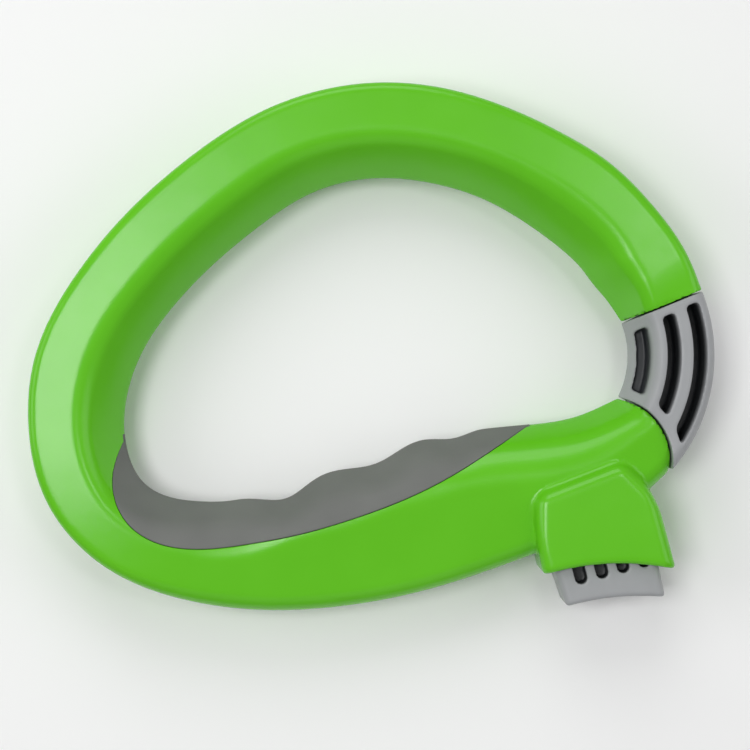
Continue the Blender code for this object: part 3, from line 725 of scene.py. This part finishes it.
def skin_object(name, outer_rows, inner_rows, rounded):
    """Closes two layers of rows into a solid, with the free rim rounded over."""
    outer_rows, inner_rows = [row.copy() for row in outer_rows], list(inner_rows)
    if rounded:
        rim, under = outer_rows[-1], inner_rows[-1]
        back = outer_rows[-2]
        along = rim - back
        along /= np.linalg.norm(along, axis=1)[:, None]
        down = under - rim
        down /= np.linalg.norm(down, axis=1)[:, None]
        radius = 0.4
        outer_rows[-1] = rim - along * radius
        for degrees in (30, 60, 90):
            turn = math.radians(degrees)
            outer_rows.append(rim - along * radius * (1 - math.sin(turn))
                              + down * radius * (1 - math.cos(turn)))
    rows = outer_rows + inner_rows[::-1]
    count = len(rows[0])
    points = np.vstack(rows)
    faces = []
    for i in range(len(rows)):
        after = (i + 1) % len(rows)
        for j in range(count - 1):
            faces.append((i * count + j, i * count + j + 1, after * count + j + 1,
                          after * count + j))
    upper = len(outer_rows)
    lower = len(inner_rows)
    for end in (0, count - 1):
        loop = [i * count + end for i in range(len(rows))]
        for i in range(max(upper, lower) - 1):
            a, b = min(i, upper - 1), min(i + 1, upper - 1)
            c = len(rows) - 1 - min(i + 1, lower - 1)
            d = len(rows) - 1 - min(i, lower - 1)
            corners = []
            for corner in (a, b, c, d):
                if loop[corner] not in corners:
                    corners.append(loop[corner])
            if len(corners) > 2:
                faces.append(corners)
    return face_outward(mesh_object(name, points, faces))


def build_shells(finish):
    body = surface_net("body", plan_of, closed_body, (-91.5, -71, -4.8), (91.5, 71, 15.5),
                       SHELL_CELL)
    above = slab("above", [(-100, -80), (100, -80), (100, 80), (-100, 80)], GAP, 30.0)
    combine(body, [above], "INTERSECT")
    cavity = shell_cavity()
    combine(body, button_channel() + [tongue_slot()], "DIFFERENCE")
    combine(body, [skin_object("recess", *grip_patch(1.2, 2.3, 0.12), False)],
            "DIFFERENCE")
    for side, name in ((1, "front_shell_body"), (-1, "rear_shell_body")):
        shell, hollow = copy_of(body, name), copy_of(cavity, "hollow")
        solids = [post("boss", place, 3.0 if side > 0 else 4.4, GAP, 20.0)
                  for place in SCREW_PLACES]
        solids.append(post("pin boss", PIVOT, 3.6, 8.8 if side > 0 else 3.6, 20.0))
        solids.append(slide_box("seat", (-5.0, 3.0), (-7.4, -5.8), GAP, 20.0))
        if side > 0:
            solids.append(post("stop", polar(PIVOT, 8.2, 205), 1.3, 6.0, 20.0))
        combine(hollow, solids, "DIFFERENCE")
        combine(shell, [hollow], "DIFFERENCE")
        holes = [post("pin hole", PIVOT, PIN_HOLE, -1.0, 10.8)]
        for place in SCREW_PLACES:
            if side > 0:
                holes.append(post("pilot", place, 1.3, -1.0, 7.4, 20))
            else:
                holes.append(post("clearance", place, 1.6, -1.0, 8.0, 24))
                holes.append(post("counterbore", place, 2.9, SCREW_SEAT, 20.0, 40))
        combine(shell, holes, "DIFFERENCE")
        if side < 0:
            flip(shell)
        node = "front_shell" if side > 0 else "rear_shell"
        finish_piece(shell, finish, "root", "shell_green", node)
    bpy.data.objects.remove(body, do_unlink=True)
    bpy.data.objects.remove(cavity, do_unlink=True)


def build_grips(finish):
    layers = grip_patch(0.1, 2.0, 0.0)
    for name, node in (("front_grip_skin", "front_grip_pad"),
                       ("rear_grip_skin", "rear_grip_pad")):
        pad = skin_object(name, *layers, True)
        if node.startswith("rear"):
            flip(pad)
        finish_piece(pad, finish, "root", "soft_grip", node, sharp=50)


# ---- the gate ----
def gate_plan(xy):
    plan = SimpleNamespace()
    away = xy - GATE_CENTRE
    plan.radial = np.hypot(away[:, 0], away[:, 1])
    arm = math.radians(ARM_ANGLE)
    plan.arm = away @ np.array((-math.sin(arm), math.cos(arm)))
    below = math.radians(BELOW_HEAD)
    plan.below = away @ np.array((math.sin(below), -math.cos(below)))
    plan.pivot = np.hypot(*(xy - PIVOT).T)
    offset = xy - PIVOT
    plan.turn = np.degrees(np.arctan2(offset[:, 1], offset[:, 0]))
    plan.across, plan.along = to_slide(xy)
    peg = xy - polar(PIVOT, PEG[0], PEG[1])
    plan.peg = np.hypot(peg[:, 0], peg[:, 1])
    return plan


def gate_pockets(plan, height):
    """The three drafted slots, cut from one face down to the web between the two faces."""
    draft = GATE_SLOT_DRAFT * (GATE_HALF - height)
    pockets = None
    for inner, outer, from_arm in GATE_SLOTS:
        band = both(inner - plan.radial, plan.radial - outer, 0.05)
        ends = np.maximum(plan.arm + from_arm, SLOTS_FROM_PIVOT - plan.pivot)
        slot = both(band, ends, 1.25) + draft
        pockets = slot if pockets is None else np.minimum(pockets, slot)
    return both(pockets, SLOT_FLOOR - height, 0.6)


def gate_field(plan, height):
    up = np.abs(height)
    upper = both(up - GATE_HALF, plan.radial - GATE_OUTER, GATE_RIM)
    inner = inner_faces(plan.radial - GATE_INNER, up, GATE_CREASE - GATE_INNER, GATE_HALF)
    sector = both(upper, inner, 1.8)
    ends = np.maximum(np.maximum(plan.arm + 0.4, plan.below), HEAD_RADIUS + 0.45 - plan.pivot)
    sector = both(sector, ends, 0.35)
    gate = both(sector, -gate_pockets(plan, up), 0.42)
    beside = np.radians(np.abs(plan.turn - TONGUE_MIDDLE) - TONGUE_SPREAD) * plan.pivot
    tongue = np.maximum(beside, plan.pivot - HEAD_RADIUS - 1.6)
    lever = block(plan.across, plan.along, (-LEVER_LENGTH, 0.0),
                  (-LEVER_HALF_WIDTH, LEVER_HALF_WIDTH))
    inside_head = np.minimum(np.minimum(tongue, plan.pivot - HUB_RADIUS), lever)
    inside_head = both(inside_head, up - TONGUE_HALF, 0.35)
    peg = both(plan.peg - PEG[2], np.maximum(height - PEG[3], -height), 0.2)
    gate = either(gate, np.minimum(inside_head, peg), 0.4)
    return both(gate, PIN_HOLE - plan.pivot, 0.2)


def paint_slot_shade(obj, slot_shade_of):
    """Stores the painted shade of the slots: how deep each point lies in a slot, from 0 at its rim
    to 1.
    """
    points = np.zeros(len(obj.data.vertices) * 3)
    obj.data.vertices.foreach_get("co", points)
    points = points.reshape(-1, 3) / MM - (0, 0, PARTING)
    attribute = obj.data.attributes.new("slot_shade", "FLOAT", "POINT")
    attribute.data.foreach_set("value", slot_shade_of(points).astype(np.float32))


def build_gate(finish):
    gate = surface_net("gate_slotted", gate_plan, gate_field, (46.0, -44.0, -13.6),
                       (91.5, 17.0, 13.6), GATE_CELL)

    # painted shade in the gate's slots: darker the deeper a point lies below the face
    def slot_shade_of(points):
        plan = gate_plan(points[:, :2])
        up = np.abs(points[:, 2])
        slot = gate_pockets(plan, np.minimum(up, GATE_HALF))
        face = np.interp(plan.radial, (GATE_INNER, GATE_INNER + STEEP_RUN, GATE_CREASE),
                         (SEAM_WALL, STEEP_RISE, GATE_HALF))
        below = face - up
        in_slot = np.clip((0.5 - slot) / 0.4, 0, 1)
        return in_slot * np.clip((below - 0.7) / 4.5, 0, 1)

    paint_slot_shade(gate, slot_shade_of)
    finish_piece(gate, finish, "gate_body", "gate_grey", "gate")


# ---- the button ----
def button_plan(xy):
    plan = SimpleNamespace()
    plan.across, plan.along = to_slide(xy)
    centre, radius = circle_through(*BUTTON_END)
    plan.end = radius - np.hypot(plan.across - centre[0], plan.along - centre[1])
    return plan


def button_slots(plan, height):
    slots = None
    count, first, pitch = THUMB_SLOTS
    for i in range(count):
        across = np.abs(plan.across - first - pitch * i)
        past_round = np.minimum(plan.along - THUMB_SLOT_TIP - THUMB_SLOT_HALF, 0)
        rounded = np.hypot(across, past_round) - THUMB_SLOT_HALF
        slot = np.maximum(rounded, plan.along + 23.6) + 0.02 * (BUTTON_HALF - height)
        slots = slot if slots is None else np.minimum(slots, slot)
    return both(slots, THUMB_SLOT_FLOOR - height, 0.4)


def button_field(plan, height):
    up = np.abs(height)
    lean = 0.055 * (-plan.along - 24.0)
    middle = sum(BUTTON_SIDES) / 2
    half = (BUTTON_SIDES[1] - BUTTON_SIDES[0]) / 2
    sides = np.abs(plan.across - middle) - half + np.maximum(lean, 0)
    thick = both(sides, up - BUTTON_HALF, 1.9)
    main = both(both(thick, plan.end, 1.0), plan.along + 18.5, 0.3)
    edges = FLANGE_GROWTH - 0.1
    flange = both(block(plan.across, plan.along,
                        (BUTTON_SIDES[0] - edges, BUTTON_SIDES[1] + edges), (-22.6, -18.5)),
                  up - BUTTON_HALF, 0.3)
    pusher = both(block(plan.across, plan.along, (-12.0, -9.0), (-19.5, -3.1)), up - 3.0, 0.4)
    solid = np.minimum(np.minimum(main, flange), pusher)
    spring = both(block(plan.across, plan.along, (-4.3, 2.3), (-27.6, -10.0)), up - 3.3, 0.5)
    solid = both(solid, -spring, 0.2)
    return both(solid, -button_slots(plan, up), 0.4)


def build_button(finish):
    low, high = (np.array(corner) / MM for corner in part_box("release_button"))
    button = surface_net("thumb_button", button_plan, button_field,
                         (low[0] - 1.2, low[1] - 1.2, -11.4), (high[0] + 1.2, high[1] + 1.2, 11.4),
                         BUTTON_CELL)

    # painted shade in the thumb slots: darker the deeper a point lies in a slot
    def slot_shade_of(points):
        plan = button_plan(points[:, :2])
        up = np.abs(points[:, 2])
        slot = button_slots(plan, np.minimum(up, BUTTON_HALF))
        return np.clip((0.5 - slot) / 0.4, 0, 1) * np.clip((10.0 - up) / 1.8, 0, 1)

    paint_slot_shade(button, slot_shade_of)
    finish_piece(button, finish, "button_body", "button_grey", "release_button")


# ---- metal pieces ----
def turned(name, profile, place, steps=40):
    """A turned piece from (radius, height) pairs, on an upright axis at a place in the plan."""
    rings = [[(*(np.array(place) + radius * np.array((math.cos(a), math.sin(a)))), height)
              for a in np.linspace(0, 2 * math.pi, steps, endpoint=False)]
             for radius, height in profile]
    points = [point for ring in rings for point in ring]
    faces = []
    for i in range(len(rings) - 1):
        for j in range(steps):
            k = (j + 1) % steps
            faces.append((i * steps + j, i * steps + k, (i + 1) * steps + k, (i + 1) * steps + j))
    faces.append(tuple(range(steps))[::-1])
    last = (len(rings) - 1) * steps
    faces.append(tuple(last + j for j in range(steps)))
    return mesh_object(name, points, faces)


def build_pin(finish):
    low, high = (corner.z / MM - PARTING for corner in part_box("gate_pivot_pin"))
    profile = ((1.6, low), (1.8, low + 0.1), (1.95, low + 0.35), (1.97, low + 0.6),
               (1.97, high - 0.6), (1.95, high - 0.35), (1.8, high - 0.1), (1.6, high))
    finish_piece(turned("pivot_pin", profile, PIVOT), finish, "root", "pin_steel",
                 "gate_pivot_pin")


def build_screws(finish):
    """Pan-head self-tapping screws with a cross recess, seen in the back's counterbores."""
    for index, place in enumerate(SCREW_PLACES, 1):
        low, high = (corner.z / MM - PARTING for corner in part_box(f"screw_{index}"))
        seat = low + 1.8
        profile = [(0.6, low), (1.5, low + 0.05), (2.1, low + 0.3), (2.45, low + 0.75),
                   (2.55, low + 1.2), (2.55, seat - 0.1), (2.45, seat), (1.0, seat)]
        height = seat + 1.0
        while height < high - 1.8:
            profile += [(0.95, height), (1.27, height + 0.28), (1.27, height + 0.36),
                        (0.95, height + 0.64)]
            height += 0.9
        profile += [(0.85, high - 0.9), (0.25, high)]
        screw = turned(f"self_tapper_{index}", profile, place, 28)
        recess = []
        for turn in (0, 90):
            bar = slab("bar", [polar(place, 1.55, turn + side + lean) for side, lean in
                               ((0, -13), (0, 13), (180, -13), (180, 13))], low - 1, low + 1.1)
            recess.append(bar)
        combine(screw, recess, "DIFFERENCE", "EXACT")
        finish_piece(screw, finish, "root", "screw_zinc", f"screw_{index}", sharp=30)


def wire(name, points, radius):
    curve = bpy.data.curves.new(name, "CURVE")
    curve.dimensions, curve.bevel_depth, curve.bevel_resolution = "3D", radius * MM, 4
    curve.use_fill_caps = True
    line = curve.splines.new("POLY")
    line.points.add(len(points) - 1)
    for point, place in zip(line.points, points):
        point.co = (*((np.array(place) + (0, 0, PARTING)) * MM), 1.0)
    guide = bpy.data.objects.new(name, curve)
    bpy.context.scene.collection.objects.link(guide)
    mesh = bpy.data.meshes.new_from_object(
        guide.evaluated_get(bpy.context.evaluated_depsgraph_get()))
    bpy.data.objects.remove(guide, do_unlink=True)
    work = bmesh.new()
    work.from_mesh(mesh)
    bmesh.ops.remove_doubles(work, verts=work.verts, dist=0.00001)
    work.to_mesh(mesh)
    work.free()
    made = bpy.data.objects.new(name, mesh)
    bpy.context.scene.collection.objects.link(made)
    return made


def build_springs(finish):
    start, end = COIL_ANGLES
    low, high = COIL_HEIGHTS
    first, last = polar(PIVOT, COIL_RADIUS, start), polar(PIVOT, COIL_RADIUS, end)
    points = [(*polar(first, COIL_LEG, start - 90), low)]
    for turn in np.linspace(start, end, 130):
        points.append((*polar(PIVOT, COIL_RADIUS, turn), low + (high - low) * (turn - start)
                       / (end - start)))
    points.append((*polar(last, COIL_LEG, end + 90), high))
    torsion = wire("torsion_coil", points, 0.42)
    finish_piece(torsion, finish, None, "spring_steel", "gate_torsion_spring", sharp=60)
    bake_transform(torsion)

    base, top = PUSH_ENDS
    points = []
    for turn in np.linspace(0, PUSH_TURNS * 2 * math.pi, 160):
        along = base + 0.35 + (top - base - 0.7) * turn / (PUSH_TURNS * 2 * math.pi)
        points.append((*from_slide(PUSH_ACROSS + PUSH_RADIUS * math.cos(turn), along),
                       PUSH_RADIUS * math.sin(turn)))
    coil = wire("compression_coil", points, 0.33)
    finish_piece(coil, finish, "root", "spring_steel", "button_return_spring", sharp=60)
    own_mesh(coil)


# ---- the set ----
def build_set():
    """Pale floor, soft light and the camera."""
    bpy.ops.mesh.primitive_plane_add(size=6.0, location=(0, 0, -0.0002))
    floor = bpy.context.object
    floor.name = "floor"
    paint = Shader("pale floor", 0.75)
    paint.link(paint.colours(paint.noise(400.0, 2.0), (0.3, (0.93, 0.93, 0.93)),
                             (0.7, (0.96, 0.96, 0.96))), paint.surface.inputs["Base Color"])
    floor.data.materials.append(paint.material)

    world = bpy.data.worlds.new("studio")
    bpy.context.scene.world = world
    world.use_nodes = True
    world.node_tree.nodes["Background"].inputs["Color"].default_value = (1, 1, 1, 1)
    world.node_tree.nodes["Background"].inputs["Strength"].default_value = AMBIENT
    middle = Vector((0, 0, PARTING * MM))
    for name, place, size, power in SOFTBOXES:
        data = bpy.data.lights.new(name, "AREA")
        data.shape, data.size, data.energy = "SQUARE", size, power
        lamp = bpy.data.objects.new(name, data)
        lamp.location = place
        lamp.rotation_euler = (middle - lamp.location).to_track_quat("-Z", "Y").to_euler()
        bpy.context.scene.collection.objects.link(lamp)
    bpy.context.scene.view_settings.view_transform = "Standard"

    camera_data = bpy.data.cameras.new("camera")
    camera = bpy.data.objects.new("camera", camera_data)
    place, target = Vector(CAMERA_PLACE) * MM, Vector(CAMERA_TARGET) * MM
    back = (place - target).normalized()
    right = Vector((0, 1, 0)).cross(back).normalized()
    axes = Matrix((right, back.cross(right), back)).transposed()
    camera.matrix_world = Matrix.Translation(place) @ axes.to_4x4()
    camera_data.sensor_width, camera_data.lens = 36.0, CAMERA_LENS
    bpy.context.scene.collection.objects.link(camera)
    bpy.context.scene.camera = camera


green = green_plastic()
# the dark second colour is the painted shade inside the slots of the gate and the button
grey = grey_plastic("light grey gate plastic", (0.03, 0.034, 0.038))
button_grey = grey_plastic("light grey button plastic", (0.03, 0.034, 0.038))
build_shells(green)
build_grips(soft_grip())
build_gate(grey)
build_button(button_grey)
build_pin(metal("pin steel", (0.62, 0.62, 0.62), 0.3, 1.5))
build_springs(metal("spring wire", (0.55, 0.55, 0.55), 0.35, 1.0))
build_screws(metal("zinc-plated steel", (0.66, 0.64, 0.58), 0.38, 0.8))
build_set()
